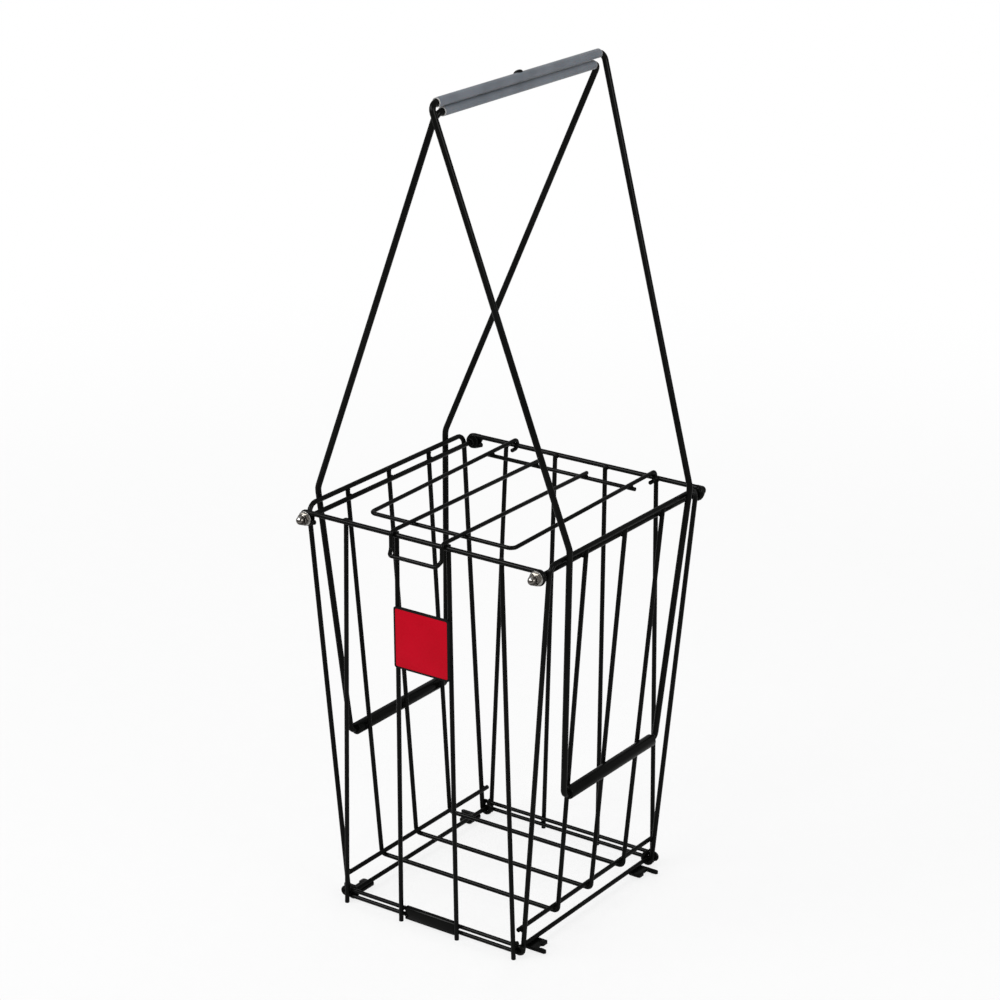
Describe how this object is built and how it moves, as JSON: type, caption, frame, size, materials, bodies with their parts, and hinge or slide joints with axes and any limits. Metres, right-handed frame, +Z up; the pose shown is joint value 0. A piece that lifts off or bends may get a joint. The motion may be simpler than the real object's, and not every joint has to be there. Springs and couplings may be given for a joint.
{
  "type": "tennis ball hopper",
  "caption": "Tapered wire tennis ball hopper with a wire lid and two fold-over handle frames that turn down into legs and clip under the basket.",
  "frame": {"origin": "centre of the overall box on the floor the basket stands on", "axes": "+Z up from the floor, +X to the right seen from the front, +Y from the front panel to the back; the front panel with the name plate faces -Y"},
  "size_m": [0.289, 0.296, 0.8136],
  "materials": {
    "black_wire": "gloss",
    "plated_nuts": "satin",
    "grey_grips": "satin",
    "black_holder": "satin",
    "red_panel": "satin"
  },
  "bodies": {
    "basket": {"front_top_rail": "black_wire", "back_top_rail": "black_wire", "right_side_hoop": "black_wire", "left_side_hoop": "black_wire", "right_tie_rod": "black_wire", "left_tie_rod": "black_wire", "outer_washers": "plated_nuts", "inner_washers": "black_wire", "clamp_nuts": "black_wire", "acorn_nuts": "plated_nuts", "front_upright_1": "black_wire", "front_upright_2": "black_wire", "front_upright_3": "black_wire", "front_upright_4": "black_wire", "back_upright_1": "black_wire", "back_upright_2": "black_wire", "back_upright_3": "black_wire", "back_upright_4": "black_wire", "front_cross_hoop": "black_wire", "middle_cross_hoop": "black_wire", "rear_cross_hoop": "black_wire", "right_bottom_rail": "black_wire", "left_bottom_rail": "black_wire", "front_bottom_loop": "black_wire", "back_bottom_loop": "black_wire", "front_channel_plate": "black_wire", "right_leg_bar": "black_wire", "left_leg_bar": "black_wire", "right_front_leg_clip": "black_wire", "right_back_leg_clip": "black_wire", "left_front_leg_clip": "black_wire", "left_back_leg_clip": "black_wire", "right_pivot_tube": "black_wire", "left_pivot_tube": "black_wire", "name_plate_holder": "black_holder", "name_plate_panel": "red_panel"},
    "right_handle": {"right_handle_frame": "black_wire", "right_grip": "grey_grips", "grip_catch": "grey_grips"},
    "left_handle": {"left_handle_frame": "black_wire", "left_grip": "grey_grips"},
    "lid": {"lid_frame": "black_wire", "lid_cross_wire": "black_wire", "lid_centre_wire": "black_wire"}
  },
  "joints": [
    {"name": "right_handle_pivot", "type": "hinge", "parent": "basket", "child": "right_handle", "pos_m": [0.12382, 0, 0.1596], "axis": [0, 1, 0], "range_deg": [0, 180.5]},
    {"name": "left_handle_pivot", "type": "hinge", "parent": "basket", "child": "left_handle", "pos_m": [-0.12382, 0, 0.1596], "axis": [0, -1, 0], "range_deg": [0, 180.5]},
    {"name": "lid_hinge", "type": "hinge", "parent": "basket", "child": "lid", "pos_m": [0, 0.1345, 0.402], "axis": [-1, 0, 0], "range_deg": [0, 78]}
  ]
}
